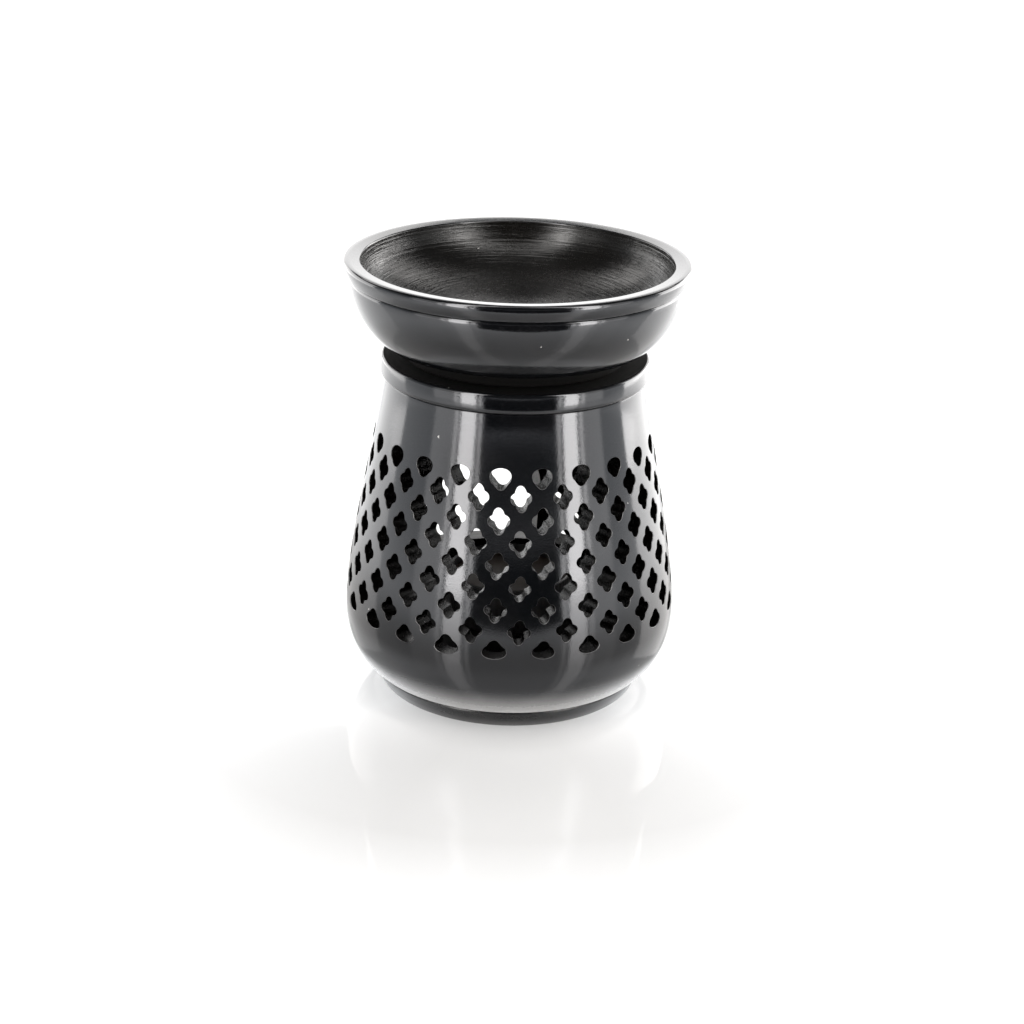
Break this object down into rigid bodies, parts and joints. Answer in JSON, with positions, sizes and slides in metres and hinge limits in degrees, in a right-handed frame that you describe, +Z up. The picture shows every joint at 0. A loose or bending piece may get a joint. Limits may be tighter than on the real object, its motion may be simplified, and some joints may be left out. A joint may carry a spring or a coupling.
{
  "type": "incense warmer",
  "caption": "Openwork polished black stone warmer: a pierced, flared body on a matt base, with a rear doorway for a tea light and a lift-off dish for oil, resin or wax.",
  "frame": {"origin": "middle of the base plate's underside, on the table", "axes": "+Z up the turning axis, +Y out of the doorway, +X completes the right-handed frame"},
  "size_m": [0.105, 0.105, 0.1362],
  "materials": {
    "polished_stone": "black soapstone, oiled and polished",
    "matt_stone": "black soapstone, sawn and left matt",
    "cup_metal": "pressed foil, black lacquered",
    "wax": "dark candle wax",
    "tab_metal": "tinned steel",
    "wick": "waxed cotton braid"
  },
  "bodies": {
    "burner": {"base_plate": "matt_stone", "burner_body": "polished_stone"},
    "dish": {"dish": "polished_stone"},
    "tealight": {"tealight_cup": "cup_metal", "tealight_wax": "wax", "wick_sustainer": "tab_metal", "tealight_wick": "wick"}
  },
  "joints": [
    {"name": "dish_lift", "type": "slide", "parent": "burner", "child": "dish", "axis": [0, 0, 1], "range_m": [0, 0.05]},
    {"name": "tealight_draw", "type": "slide", "parent": "burner", "child": "tealight", "axis": [0, 0.9397, 0.342], "range_m": [0, 0.08]}
  ]
}
